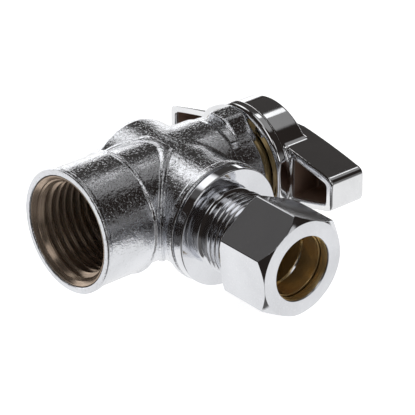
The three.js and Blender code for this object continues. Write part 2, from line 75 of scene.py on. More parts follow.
BODY_LOW, BODY_HIGH = extent("valve_body")
NUT_LOW, NUT_HIGH = extent("compression_nut")
SLEEVE_LOW, SLEEVE_HIGH = extent("compression_sleeve")
HANDLE_LOW, HANDLE_HIGH = extent("handle")
GLAND_LOW, GLAND_HIGH = extent("packing_gland")
STEM_LOW, STEM_HIGH = extent("stem")
BALL_LOW, BALL_HIGH = extent("ball")
SCREW_LOW, SCREW_HIGH = extent("handle_screw")

AXES_Y = (SLEEVE_LOW[1] + SLEEVE_HIGH[1]) / 2  # outlet axis
PAST_X = 30  # beyond the barrel's open end
PAST_Y = 60  # beyond the lever
CELL = 0.22  # grid of the carved pieces
LEVER_CELL = 0.2
FINE_CELL = 0.12
CAST_DEEP = 0.02  # unevenness of the cast skin
CAST_GRAIN = 1.3

# valve body
SOCKET_RIM_R = -BODY_LOW[2]
SOCKET_R = SOCKET_RIM_R - 0.4
SOCKET_RIM_DEEP = 1.1
SOCKET_STEP_Y = 12.7
TRUNK_R = 12.05  # between the socket and the barrel
NECK_R = 12.3
NECK_END_Y = 37.1
JOURNAL_R = 10.7
JOURNAL_END_Y = 43.5
BARREL_BACK_X = BODY_LOW[0]
BARREL_END_X = 16.2
BARREL_R = 11.75
BARREL_MIDDLE_R = 12.1
BARREL_MIDDLE_X = (-8, 6.5)
BARREL_BOSS_X = (-10.2, -8.6)  # band near the closed end
BARREL_END_ROUND = 2.6
COLLAR_BACK_X = 14.3
COLLAR_R = 12.7
SEAM_PROUD = 0.26
SEAM_BEAD_R = 0.34  # raised seam of the casting between socket and barrel
INLET_MOUTH_R = 11.44
INLET_PLAIN_R = 10.8  # plain bore that the thread is cut in
INLET_CREST_R = 9.35
INLET_ROOT_R = 10.55
INLET_PITCH = 1.814
INLET_THREAD_END_Y = 13.3
INLET_FLOOR_Y = 15.4
PORT_R = 4.8
BARREL_BORE_R = 8.4
BARREL_BORE_BACK_X = -9.6
STEM_BORE_R = 5.3
GLAND_BORE_R = 8.2
GLAND_BORE_Y = 38.2
LUG_LEFT = -2.7
LUG_RIGHT = 1.6
LUG_TOP_Z = 12.9
LUG_CORNER_CUT = 0.5
LUG_START_Y = 39.4
LUG_END_Y = 44.8
LUG_TONGUE_R = 11.6
LUG_PAD_R = 11.95
LUG_PAD_LEFT = -6
LUG_PAD_RIGHT = 6.5
LUG_BOTTOM_Z = 8
LUG_OVER_Z = 14  # above the lug, where its radius cuts it
LUG_FLARE_LEFT = 0.55
LUG_FLARE_RIGHT = 1.05
LUG_FLARE_DEEP = 4
LUG_LEAN = 0.25
LUG_LEAN_DEEP = 0.9

# lever
LEVER_TILT = math.radians(-2)
SKIRT_FRONT_Y = HANDLE_LOW[1]
SKIRT_BACK_Y = 47.6
SKIRT_R = 13.5
SKIRT_BORE_R = 12
SKIRT_FLOOR_Y = 49.2
HUB_R = 12.5
HUB_RIM_Y = 54.4
WING_FRONT_Y = 48.6
WING_BACK_Y = HANDLE_HIGH[1]
WING_TIP_RIGHT = 24.4
WING_TIP_LEFT = 25.2
WING_TIP_HALF = 3.45
WING_BULGE = 0.28
WING_ROOT_X = 7
WING_ROOT_HALF = 7
WING_RISE = 0.5
WING_WALL = 1.7
WING_ROOF = 1.8
POCKET_START = 12.7
STOP_START = 66
STOP_GAP = 132
STOP_INNER_R = 10.4
SQUARE_HOLE_Y = 40
WELL_TOP_Y = 65
STEM_SQUARE = 5.4
STEM_R = 5
STEM_LOWER_END_Y = 34.5
STEM_O_RING_YS = (35.6, 37.6)
STEM_GROOVE_DEEP = 1
STEM_GROOVE_HALF = 0.7
STEM_FLANGE_R = 7
STEM_FLANGE_FRONT_Y = 39.2
STEM_FLANGE_BACK_Y = 40.1
STEM_SHAFT_R = 4.1
STEM_SQUARE_Y = 48.9
TANG_WIDTH = 2.8
TANG_HALF_LONG = 3
BALL_R = 7.5
BALL_PORT_R = 4.6
BALL_SLOT_FLOOR = 5.4
SCREW_R = 1.7
SCREW_PITCH = 0.7
SCREW_CROWN_R = 7
SCREW_SEAT_Y = 54.3
SCREW_HEAD_R = 4.3
SCREW_THREAD_Y = 48.3
SCREW_THREAD_DEEP = 0.42
RECESS_HALF_LONG = 2.1
RECESS_HALF_WIDE = 0.45

# outlet
TUBE_PITCH = 1.27
TUBE_CREST_R = 8.65
TUBE_ROOT_R = 7.75
TUBE_THREAD_X = 20.8
FLANGE_BACK_X = 16.5
FLANGE_FRONT_X = 18.84
FLANGE_R = 12.5
ADAPTER_END_X = extent("outlet_adapter")[1][0]
ADAPTER_BACK_X = 9.7
ADAPTER_BODY_R = 8.1
ADAPTER_NECK_R = 8.3
TUBE_SOCKET_R = 6.5
TUBE_STOP_X = 28
NUT_FLATS = 19.9
NUT_CORNER_ANGLE = 96.68
NUT_FACE_R = 9.97
NUT_HOLE_R = 6.715
NUT_CHAMFER = 1.54
NUT_BACK_CHAMFER = 0.6
NUT_BACK_IN = 0.9
NUT_THREAD_GAP = 0.3
NUT_HOLE_BACK_X = 38.3
NUT_CONE_BACK_X = 36.7
NUT_RELIEF_X = 35.9
NUT_THREAD_END_X = 35.7
NUT_THREAD_FULL_X = 35.4
NUT_SKIN = 0.05  # between the nut and the lining of its hole
BORE_SKIN = 0.03  # between the tube and its lining
PORT_LINING_X = 12
FLANGE_O_RING_R = 9.05
FLANGE_O_RING_SECTION = 0.6
FLANGE_O_RING_X = 15.55
SEAT_O_RING_R = 6.8
SEAT_O_RING_SECTION = 0.5
SEAT_O_RING_XS = (8.95, -8.85)  # behind the outlet seat and the back seat


# ---- camera ----

CAMERA_AZIMUTH = math.radians(48.059)
CAMERA_ELEVATION = math.radians(28.375)
CAMERA_ROLL = math.radians(1.358)
CAMERA_DISTANCE = 592.472
CAMERA_ASIDE = 8.269
CAMERA_ABOVE = -2.833
CAMERA_LENS = 254.55


def add_camera():
    azimuth, elevation = CAMERA_AZIMUTH, CAMERA_ELEVATION
    back = Vector((math.sin(azimuth) * math.cos(elevation),
                   -math.cos(azimuth) * math.cos(elevation), math.sin(elevation)))
    right = Vector((0, 0, 1)).cross(back).normalized()
    up = back.cross(right)
    place = back * CAMERA_DISTANCE + right * CAMERA_ASIDE + up * CAMERA_ABOVE
    place += Vector((0, AXES_Y, 0))
    turned_right = right * math.cos(CAMERA_ROLL) + up * math.sin(CAMERA_ROLL)
    turned_up = up * math.cos(CAMERA_ROLL) - right * math.sin(CAMERA_ROLL)
    data = bpy.data.cameras.new("camera")
    data.lens = CAMERA_LENS
    data.clip_start = 0.01
    data.clip_end = 10
    camera = bpy.data.objects.new("camera", data)
    bpy.context.scene.collection.objects.link(camera)
    rotation = Matrix((turned_right, turned_up, back)).transposed()
    camera.matrix_world = Matrix.Translation(place * MM) @ rotation.to_4x4()
    bpy.context.scene.camera = camera


# ---- mesh making ----

def mesh_object(name, points, faces, material):
    """A smooth-shaded closed mesh from points in millimetres."""
    data = bpy.data.meshes.new(name)
    data.from_pydata((np.asarray(points, float) * MM).tolist(), [], faces)
    work = bmesh.new()
    work.from_mesh(data)
    bmesh.ops.remove_doubles(work, verts=work.verts, dist=1e-8)
    bmesh.ops.recalc_face_normals(work, faces=work.faces)
    work.to_mesh(data)
    work.free()
    data.materials.append(material)
    data.polygons.foreach_set("use_smooth", np.ones(len(data.polygons), bool))
    made = bpy.data.objects.new(name, data)
    bpy.context.scene.collection.objects.link(made)
    return made


def rounded(points, radii, steps=4):
    """Closed outlines of (radius, height) corners, with each corner rounded.

    points is (..., corners, 2), so one call can round an outline at every angle."""
    points = np.asarray(points, float)
    radii = np.broadcast_to(np.asarray(radii, float), points.shape[:-1])[..., None]
    before = np.roll(points, 1, axis=-2) - points
    after = np.roll(points, -1, axis=-2) - points
    long_before = np.linalg.norm(before, axis=-1, keepdims=True)
    long_after = np.linalg.norm(after, axis=-1, keepdims=True)
    before = before / long_before
    after = after / long_after
    half = np.arccos(np.clip((before * after).sum(-1, keepdims=True), -0.99999, 0.99999)) / 2
    reach = np.minimum(radii / np.tan(half), 0.45 * np.minimum(long_before, long_after))
    rows = []
    for t in np.linspace(0, 1, steps + 1):
        start = points + before * reach
        end = points + after * reach
        rows.append((1 - t) ** 2 * start + 2 * t * (1 - t) * points + t ** 2 * end)
    return np.stack(rows, axis=-2).reshape(*points.shape[:-2], -1, 2)


def lengthened(outline, radius, step):
    """The outline with extra points on its straight stretches that lie at one radius."""
    rows = []
    following = np.roll(outline, -1, axis=0)
    for point, after in zip(outline, following):
        rows.append(point)
        if abs(point[0] - radius) < 1e-6 and abs(after[0] - radius) < 1e-6:
            count = int(abs(after[1] - point[1]) / step)
            for k in range(1, count):
                rows.append(point + (after - point) * k / count)
    return np.array(rows)


def lathe(name, outline, material, along="Y", columns=192, shape=None, angles=None):
    """Turns a closed (radius, height) outline about the lever axis or the outlet axis.

    shape(radius, height, angle) may push the surface in or out, as a thread does."""
    if angles is None:
        angles = np.arange(columns) * TURN / columns
    columns = len(angles)
    grid = np.broadcast_to(outline, (columns, *np.shape(outline)[-2:]))
    radius, height = grid[..., 0], grid[..., 1]
    angle = np.broadcast_to(angles[:, None], radius.shape)
    if shape:
        radius = shape(radius, height, angle)
    across, upward = radius * np.cos(angle), radius * np.sin(angle)
    if along == "Y":
        points = np.stack([across, height, upward], -1)
    else:
        points = np.stack([height, AXES_Y + across, upward], -1)
    rows = radius.shape[1]
    on_axis = np.all(radius < 1e-6, axis=0)
    faces = []
    for row in range(rows):
        after = (row + 1) % rows
        if on_axis[row] and on_axis[after]:
            continue
        for column in range(columns):
            beside = (column + 1) % columns
            faces.append((column * rows + row, beside * rows + row,
                          beside * rows + after, column * rows + after))
    made = mesh_object(name, points.reshape(-1, 3), faces, material)
    even = made.modifiers.new("even_normals", "WEIGHTED_NORMAL")
    even.keep_sharp = False
    return made


def placed(piece, node, body):
    """Lets a piece stand for a CAD node and move with its body."""
    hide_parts(node)
    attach(piece, body)


def ridge(height, angle, pitch):
    """0 at the root and 1 at the crest of a right-hand thread."""
    phase = np.mod(height / pitch - angle / TURN, 1)
    wave = 1 - np.abs(2 * phase - 1)
    flat = np.clip((wave - 0.12) / 0.76, 0, 1)
    return flat * flat * (3 - 2 * flat) * 0.5 + flat * 0.5


def fade(value, low, high, reach):
    """1 between low and high, falling to 0 over reach outside them."""
    return np.clip((value - low) / reach + 1, 0, 1) * np.clip((high - value) / reach + 1, 0, 1)


# ---- solids by distance ----

def either(a, b, blend=0.0):
    """Union of two distances, with a fillet about as wide as blend."""
    if blend == 0:
        return np.minimum(a, b)
    share = np.clip(0.5 + 0.5 * (b - a) / blend, 0, 1)
    return b + (a - b) * share - blend * share * (1 - share)


def both(a, b, blend=0.0):
    return -either(-a, -b, blend)


def without(a, b, blend=0.0):
    return both(a, -b, blend)


def bar(radial, along, radius, low, high, blend=0.3):
    """Distance to a round bar with rounded ends."""
    return both(radial - radius, np.maximum(low - along, along - high), blend)


def block(x, y, z, low, high, blend=0.3):
    sides = [np.maximum(a - p, p - b) for p, a, b in zip((x, y, z), low, high)]
    return both(both(sides[0], sides[1], blend), sides[2], blend)


def net(distance, low, high, cell):
    """Points and quads of the surface where distance crosses zero."""
    axes = [np.arange(a - 2 * cell, b + 3 * cell, cell, dtype=np.float32) for a, b in zip(low, high)]
    field = distance(*np.meshgrid(*axes, indexing="ij"))
    inside = field < 0
    count = np.zeros(np.array(field.shape) - 1, np.int8)
    corners = [(i, j, k) for i in (0, 1) for j in (0, 1) for k in (0, 1)]
    size = count.shape
    for i, j, k in corners:
        count += inside[i:i + size[0], j:j + size[1], k:k + size[2]]
    active = np.argwhere((count > 0) & (count < 8))
    index = np.full(size, -1, np.int64)
    index[tuple(active.T)] = np.arange(len(active))
    total = np.zeros((len(active), 3))
    crossings = np.zeros(len(active))
    for axis in range(3):
        step = np.eye(3, dtype=int)[axis]
        for corner in corners:
            if corner[axis]:
                continue
            near = active + corner
            a, b = field[tuple(near.T)], field[tuple((near + step).T)]
            crossed = (a < 0) != (b < 0)
            share = a[crossed] / (a[crossed] - b[crossed])
            total[crossed] += np.array(corner) + share[:, None] * step
            crossings[crossed] += 1
    start = np.array([a[0] for a in axes])
    points = start + (active + total / crossings[:, None]) * cell
    quads = []
    for axis in range(3):
        u, v = (axis + 1) % 3, (axis + 2) % 3
        step = np.eye(3, dtype=int)
        ahead = np.roll(inside, -1, axis)
        change = inside != ahead
        change[tuple(slice(-1, None) if a == axis else slice(None) for a in range(3))] = False
        edges = np.argwhere(change)
        flip = inside[tuple(edges.T)]
        ring = [edges - step[u] - step[v], edges - step[v], edges, edges - step[u]]
        quad = np.stack([index[tuple(r.T)] for r in ring], -1)
        quad[~flip] = quad[~flip][:, ::-1]
        quads.append(quad)
    return points, np.concatenate(quads)


def settled(points, distance, cell):
    """Points moved onto the surface that distance describes."""
    nudge = 0.02 * cell
    for _ in range(3):
        here = distance(*points.T)
        ahead = [distance(*(points + nudge * side).T) for side in np.eye(3)]
        slope = np.stack([(there - here) / nudge for there in ahead], -1)
        steep = np.maximum((slope ** 2).sum(-1), 0.25)
        points = points - np.clip(here / steep, -cell, cell)[:, None] * slope
    return points


def carved(name, distance, low, high, cell, material):
    """A closed mesh of the solid that distance describes."""
    points, quads = net(distance, low, high, cell)
    points = settled(points, distance, cell)
    return mesh_object(name, points, quads.tolist(), material)


# ---- materials ----

class Nodes:
    """Short names for the nodes of one material."""

    def __init__(self, name):
        self.material = bpy.data.materials.new(name)
        self.material.use_nodes = True
        self.tree = self.material.node_tree
        self.shader = self.tree.nodes["Principled BSDF"]
        self.place = self.tree.nodes.new("ShaderNodeTexCoord").outputs["Object"]

    def link(self, source, target):
        self.tree.links.new(source, target)

    def stretched(self, scale):
        mapping = self.tree.nodes.new("ShaderNodeMapping")
        mapping.inputs["Scale"].default_value = scale
        self.link(self.place, mapping.inputs["Vector"])
        return mapping.outputs["Vector"]

    def noise(self, per_metre, detail=3, where=None):
        made = self.tree.nodes.new("ShaderNodeTexNoise")
        made.inputs["Scale"].default_value = per_metre
        made.inputs["Detail"].default_value = detail
        self.link(where or self.place, made.inputs["Vector"])
        return made.outputs["Fac"]

    def ranged(self, value, low, high, to_low, to_high):
        made = self.tree.nodes.new("ShaderNodeMapRange")
        for socket, number in zip(made.inputs[1:5], (low, high, to_low, to_high)):
            socket.default_value = number
        self.link(value, made.inputs["Value"])
        return made.outputs["Result"]

    def mixed(self, share, first, second):
        """A mix of two colours, each a constant or a node's output."""
        made = self.tree.nodes.new("ShaderNodeMix")
        made.data_type = "RGBA"
        for name, colour in (("A", first), ("B", second)):
            if isinstance(colour, tuple):
                made.inputs[name].default_value = (*colour, 1)
            else:
                self.link(colour, made.inputs[name])
        self.link(share, made.inputs["Factor"])
        return made.outputs["Result"]

    def average(self, share, first, second):
        """A mix of a node's value and a constant."""
        made = self.tree.nodes.new("ShaderNodeMix")
        made.inputs["B"].default_value = second
        self.link(first, made.inputs["A"])
        self.link(share, made.inputs["Factor"])
        return made.outputs["Result"]

    def bump(self, height, strength, deep, onto=None):
        made = self.tree.nodes.new("ShaderNodeBump")
        made.inputs["Strength"].default_value = strength
        made.inputs["Distance"].default_value = deep
        self.link(height, made.inputs["Height"])
        if onto:
            self.link(onto, made.inputs["Normal"])
        return made.outputs["Normal"]

    def finish(self, colour, roughness, normal, metallic=1.0):
        self.shader.inputs["Metallic"].default_value = metallic
        self.link(colour, self.shader.inputs["Base Color"])
        self.link(roughness, self.shader.inputs["Roughness"])
        self.link(normal, self.shader.inputs["Normal"])
        return self.material


def chrome(name, tone, rough, peel, peel_size, scratch=0.0, pits=0.0, pocket_shade=False):
    """Chrome plating: rough is the (low, high) roughness, peel_size the grain of its orange peel.

    peel, scratch and pits are the depths in metres of the orange peel, the wear and the pits.
    Where its pocket attribute says so, the colour is painted shade: a dull dark brown stands in for the
    shade inside the lever's pockets."""
    n = Nodes(name)
    smudge = n.noise(90, 4)
    grain = n.noise(1 / peel_size, 3)
    fine = n.noise(4 / peel_size, 2)
    darker = tuple(0.88 * c for c in tone)
    colour = n.mixed(n.ranged(smudge, 0.35, 0.7, 0, 1), tone, darker)
    roughness = n.ranged(smudge, 0.3, 0.7, *rough)
    normal = n.bump(fine, 0.5, peel * 0.35, n.bump(grain, 1.0, peel))
    if pits:
        pit = n.ranged(n.noise(2300, 2), 0.56, 0.68, 0, 1)
        normal = n.bump(pit, 0.8, pits, normal)
    if scratch:
        wear = n.noise(1, 3, n.stretched((500, 60, 4200)))
        normal = n.bump(wear, 0.5, scratch, normal)
        speck = n.noise(2600, 3)
        colour = n.mixed(n.ranged(speck, 0.58, 0.72, 0, 0.35), colour, (0.95, 0.95, 0.96))
    if pocket_shade:
        attribute = n.tree.nodes.new("ShaderNodeAttribute")
        attribute.attribute_name = POCKET_SHADE
        inside = attribute.outputs["Fac"]
        # painted shade: dark brown, duller and less metallic in the wings' pockets, where shade falls
        colour = n.mixed(inside, colour, (0.30, 0.20, 0.15))
        roughness = n.average(inside, roughness, 0.42)
        n.finish(colour, roughness, normal)
        n.link(n.ranged(inside, 0, 1, 1, 0.4), n.shader.inputs["Metallic"])
        return n.material
    return n.finish(colour, roughness, normal)


def turned_metal(name, light, dark, rough, groove, groove_deep, axis, metallic=1.0):
    """Bare or plated metal with the fine marks of the lathe across its axis."""
    n = Nodes(name)
    scale = [30.0, 30.0, 30.0]
    scale[axis] = groove
    marks = n.noise(1, 2, n.stretched(scale))
    stain = n.noise(260, 4)
    colour = n.mixed(n.ranged(stain, 0.35, 0.7, 0, 1), light, dark)
    roughness = n.ranged(marks, 0.3, 0.7, *rough)
    normal = n.bump(marks, 0.6, groove_deep)
    return n.finish(colour, roughness, normal, metallic)


def soft_material(name, light, dark, rough, pore, deep):
    """Rubber or PTFE."""
    n = Nodes(name)
    grain = n.noise(pore, 4)
    colour = n.mixed(n.ranged(n.noise(300, 3), 0.35, 0.65, 0, 1), light, dark)
    normal = n.bump(grain, 0.5, deep)
    return n.finish(colour, n.ranged(grain, 0.3, 0.7, *rough), normal, 0.0)


# name of the mesh attribute that says where painted shade goes in the lever's pockets
POCKET_SHADE = "pocket_shade"
ABOUT_X, ABOUT_Y = 0, 1  # axis that a turned piece is turned about
CHROME_TONE = (0.79, 0.80, 0.83)
CAST_CHROME = chrome("cast_chrome", CHROME_TONE, (0.06, 0.12), 0.00007, 0.00064, pits=0.00003)
# the lever's chrome gets painted shade in its wings' pockets
LEVER_CHROME = chrome("lever_chrome", (0.88, 0.885, 0.9), (0.04, 0.09), 0.000008, 0.0016,
                      scratch=0.000003, pocket_shade=True)
MACHINED_CHROME = chrome("machined_chrome", CHROME_TONE, (0.05, 0.11), 0.000007, 0.0009,
                         scratch=0.000004)
BARE_THREAD = turned_metal("bare_thread", (0.50, 0.39, 0.30), (0.33, 0.25, 0.19), (0.2, 0.32),
                           4000, 0.00002, ABOUT_Y, 0.8)
BRASS = turned_metal("brass", (0.74, 0.56, 0.28), (0.56, 0.40, 0.18), (0.14, 0.24),
                     5000, 0.00001, ABOUT_X, 0.75)
GLAND_BRASS = turned_metal("gland_brass", (0.42, 0.31, 0.15), (0.30, 0.21, 0.10), (0.25, 0.4),
                           5000, 0.00001, ABOUT_Y, 0.8)
STEEL = turned_metal("steel", (0.55, 0.56, 0.57), (0.45, 0.46, 0.48), (0.2, 0.35),
                     4000, 0.00001, ABOUT_Y)
PTFE = soft_material("ptfe", (0.86, 0.85, 0.82), (0.8, 0.79, 0.75), (0.4, 0.55), 3000, 0.00002)
RUBBER = soft_material("rubber", (0.02, 0.02, 0.021), (0.035, 0.034, 0.034), (0.5, 0.7), 5000, 0.00003)


# ---- valve body ----

def stop_lug(x, y, z, radial):
    """Lug on the journal, flared at its root, with a tongue that reaches into the lever's skirt.

    The factors below 1 turn the heights of the slopes into distances."""
    flare = np.clip(LUG_TOP_Z - z, 0, LUG_FLARE_DEEP)
    left = (LUG_LEFT - LUG_FLARE_LEFT * flare - x) * 0.87
    right = (x - LUG_RIGHT - LUG_FLARE_RIGHT * flare) * 0.69
    outer = both(both(left, right, 0.2), z - LUG_TOP_Z, 0.5)
    lean = np.clip(LUG_TOP_Z - LUG_LEAN_DEEP - z, -LUG_LEAN_DEEP, 0)
    slope = (LUG_START_Y - y + LUG_LEAN * lean + LUG_LEAN * LUG_LEAN_DEEP) * 0.95
    front = both(outer, slope, 0.3)
    corner = (x - LUG_RIGHT + LUG_START_Y - y + z - LUG_TOP_Z) * 0.577 + LUG_CORNER_CUT
    root = both(both(front, corner, 0.15), y - LUG_END_Y, 0.3)
    root = np.maximum(root, LUG_BOTTOM_Z - z)
    low = (LUG_LEFT, LUG_START_Y + 1, LUG_BOTTOM_Z)
    high = (LUG_RIGHT, LUG_END_Y + 1.5, LUG_OVER_Z)
    tongue = both(block(x, y, z, low, high), radial - LUG_TONGUE_R, 0.3)
    low = (LUG_PAD_LEFT, NECK_END_Y - 2, LUG_BOTTOM_Z)
    high = (LUG_PAD_RIGHT, LUG_START_Y + 0.1, LUG_OVER_Z)
    pad = both(block(x, y, z, low, high, 0.6), radial - LUG_PAD_R, 0.4)
    return either(either(root, tongue, 0.3), pad, 0.25)


def barrel_radius(x):
    """The barrel is a little wider in its middle and in a band near its closed end."""
    swell = fade(x, *BARREL_MIDDLE_X, 3)
    boss = fade(x, *BARREL_BOSS_X, 1.1)
    return BARREL_R + (BARREL_MIDDLE_R - BARREL_R) * np.maximum(swell, boss)


def body_outside(x, y, z):
    """The casting without its bores."""
    radial_y = np.hypot(x, z)
    radial_x = np.hypot(y - AXES_Y, z)
    socket = bar(radial_y, y, SOCKET_R, 0, SOCKET_STEP_Y + 0.3, 0.2)
    rim = bar(radial_y, y, SOCKET_RIM_R, 0, SOCKET_RIM_DEEP, 0.25)
    step = np.hypot(radial_y - SOCKET_R, y - SOCKET_STEP_Y) - 0.32
    socket = either(either(socket, rim, 0.25), step, 0.5)
    trunk = bar(radial_y, y, TRUNK_R, 10, AXES_Y, 0.3)
    neck = bar(radial_y, y, NECK_R, AXES_Y + 1, NECK_END_Y, 1.0)
    journal = bar(radial_y, y, JOURNAL_R, 30, JOURNAL_END_Y, 0.3)
    barrel = both(radial_x - barrel_radius(x),
                  np.maximum(BARREL_BACK_X - x, x - BARREL_END_X), BARREL_END_ROUND)
    mouth = bar(radial_x, x, COLLAR_R, COLLAR_BACK_X, BARREL_END_X, 0.5)
    barrel = either(barrel, bar(radial_x, x, BARREL_R, 0, BARREL_END_X - 0.1, 0.3), 0.3)
    stalk = either(trunk, neck, 2.0)
    off_trunk = radial_y - TRUNK_R - SEAM_PROUD
    off_barrel = radial_x - BARREL_MIDDLE_R - SEAM_PROUD
    bead = np.hypot(off_trunk, off_barrel) - SEAM_BEAD_R
    bead = np.maximum(bead, y - AXES_Y + 2)
    whole = either(either(stalk, barrel, 0.7), socket, 0.4)
    whole = either(whole, bead, 0.2)
    whole = either(whole, mouth, 0.6)
    whole = either(whole, journal, 0.6)
    return either(whole, stop_lug(x, y, z, radial_y), 0.5)


def body_distance(x, y, z):
    """The body with its inlet and the rooms for the ball, the adapter, the stem and the gland."""
    radial_y = np.hypot(x, z)
    radial_x = np.hypot(y - AXES_Y, z)
    chamfer = radial_y - INLET_PLAIN_R - np.clip(INLET_MOUTH_R - INLET_PLAIN_R - y, 0, 2)
    inlet = both(chamfer, y - INLET_THREAD_END_Y - 0.3, 0.2)
    drill = both(radial_y - PORT_R - 0.8 - np.clip(INLET_FLOOR_Y - y, 0, 3) * 2, y - AXES_Y, 0.2)
    ball_room = bar(radial_x, x, BARREL_BORE_R, BARREL_BORE_BACK_X, PAST_X, 0.2)
    outlet_room = bar(radial_x, x, BARREL_BORE_R + 1.5, 14.7, PAST_X, 0.2)
    stem_room = bar(radial_y, y, STEM_BORE_R, AXES_Y, PAST_Y, 0.2)
    gland_room = bar(radial_y, y, GLAND_BORE_R, GLAND_BORE_Y, PAST_Y, 0.2)
    result = body_outside(x, y, z)
    for room in (inlet, drill, ball_room, outlet_room, stem_room, gland_room):
        result = without(result, room, 0.25)
    return result


def roughen(piece, deep, size, where):
    """Gives a cast surface its uneven skin; where(x, y, z in mm) says how much of it each point gets."""
    count = len(piece.data.vertices)
    places, normals = np.zeros(count * 3), np.zeros(count * 3)
    piece.data.vertices.foreach_get("co", places)
    piece.data.vertex_normals.foreach_get("vector", normals)
    places, normals = places.reshape(-1, 3), normals.reshape(-1, 3)
    share = where(*(places / MM).T)
    heights = np.zeros(count)
    for k in np.flatnonzero(share):
        point = Vector(places[k] / MM / size)
        heights[k] = noise.noise(point) + 0.5 * noise.noise(point * 2.3 + Vector((9, 4, 7)))
    places = places + normals * (heights * share * deep * MM)[:, None]
    piece.data.vertices.foreach_set("co", places.ravel())
    piece.data.update()


def cast_skin(x, y, z):
    """1 where the casting keeps its rough skin, 0 on the turned rim, bores, collar and journal."""
    radial = np.hypot(x, z)
    across = np.hypot(y - AXES_Y, z)
    bore = (radial < SOCKET_R - 0.8) & (y < AXES_Y - BARREL_R - 1)
    rim = y < SOCKET_RIM_DEEP + 0.4
    turned = (x > 14) | (y > NECK_END_Y + 0.4)
    inside = (radial < 9) & (across < 11)
    return np.where(bore | rim | turned | inside, 0.0, 1.0)


def valve_body():
    piece = carved("valve_body_shell", body_distance, BODY_LOW, BODY_HIGH, CELL, CAST_CHROME)
    roughen(piece, CAST_DEEP, CAST_GRAIN, cast_skin)
    placed(piece, "valve_body", "valve")


def inlet_thread():
    inner, outer = INLET_ROOT_R, INLET_PLAIN_R + 0.1
    end = INLET_THREAD_END_Y + 0.2
    outline = rounded([[INLET_MOUTH_R + 0.05, 0.15], [outer, 0.75], [outer, end], [inner, end],
                       [inner, 0.85], [INLET_MOUTH_R - 0.17, 0.12]], 0.05, 2)
    outline = lengthened(outline, INLET_ROOT_R, 0.07)

    def cut(radius, height, angle):
        crest = ridge(height, -angle, INLET_PITCH) * (INLET_ROOT_R - INLET_CREST_R)
        depth = fade(height, 1.05, INLET_THREAD_END_Y - 0.6, 0.2)
        lead_in = np.minimum(INLET_MOUTH_R - 0.35 - 0.6 * height, radius)
        threaded = np.maximum(radius - crest * depth, lead_in)
        return np.where(radius < INLET_ROOT_R + 0.02, threaded, radius)

    piece = lathe("inlet_thread", outline, BARE_THREAD, shape=cut, columns=256)
    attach(piece, "valve")


# ---- outlet side ----

def outlet_adapter():
    root = TUBE_ROOT_R
    corners = [[PORT_R, ADAPTER_BACK_X], [ADAPTER_BODY_R, ADAPTER_BACK_X],
               [ADAPTER_BODY_R, FLANGE_BACK_X], [FLANGE_R, FLANGE_BACK_X],
               [FLANGE_R, FLANGE_FRONT_X], [ADAPTER_NECK_R, FLANGE_FRONT_X],
               [root, FLANGE_FRONT_X + 0.6],
               [root, ADAPTER_END_X], [TUBE_SOCKET_R + 1, ADAPTER_END_X],
               [TUBE_SOCKET_R, ADAPTER_END_X - 1.4], [TUBE_SOCKET_R, TUBE_STOP_X], [PORT_R, TUBE_STOP_X]]
    radii = [0.2, 0.2, 0.1, 0.25, 0.35, 0.5, 0.3, 0.2, 0.1, 0.2, 0.2, 0.1]
    outline = lengthened(rounded(corners, radii), root, 0.06)

    def cut(radius, height, angle):
        crest = ridge(height, angle, TUBE_PITCH) * (TUBE_CREST_R - root)
        depth = fade(height, TUBE_THREAD_X + 0.4, ADAPTER_END_X - 0.9, 0.5)
        return np.where(np.abs(radius - root) < 1e-6, radius + crest * depth, radius)

    piece = lathe("outlet_adapter_turned", outline, MACHINED_CHROME, "X", 256, cut)
    placed(piece, "outlet_adapter", "valve")


def hexagon_radius(angles):
    """Radius of the nut's outline at each angle, with slightly rounded corners."""
    flat = NUT_FLATS / 2
    corner_round = 0.3
    off = np.mod(np.degrees(angles) - NUT_CORNER_ANGLE, 60) - 30
    off = np.abs(np.radians(off))
    straight = flat / np.cos(off)
    middle = (flat - corner_round) / math.cos(math.radians(30))
    aside = math.radians(30) - off
    across = middle * np.sin(aside)
    arc = middle * np.cos(aside) + np.sqrt(np.maximum(corner_round ** 2 - across ** 2, 0))
    tangent = math.atan((flat - corner_round) * math.tan(math.radians(30)) / flat)
    return np.where(off > tangent, arc, straight)


def nut_bore():
    """Corners of the nut's hole, from the front to the back.

    The thread is cut between the fifth and the sixth."""
    thread_r = TUBE_CREST_R + NUT_THREAD_GAP
    cone_r = TUBE_ROOT_R + NUT_THREAD_GAP
    return [(NUT_HOLE_R, NUT_HIGH[0] - 0.4), (NUT_HOLE_R, NUT_HOLE_BACK_X),
            (cone_r, NUT_CONE_BACK_X), (cone_r, NUT_RELIEF_X),
            (thread_r, NUT_THREAD_END_X), (thread_r, NUT_LOW[0] + 0.5),
            (thread_r + 0.3, NUT_LOW[0] + 0.05)]


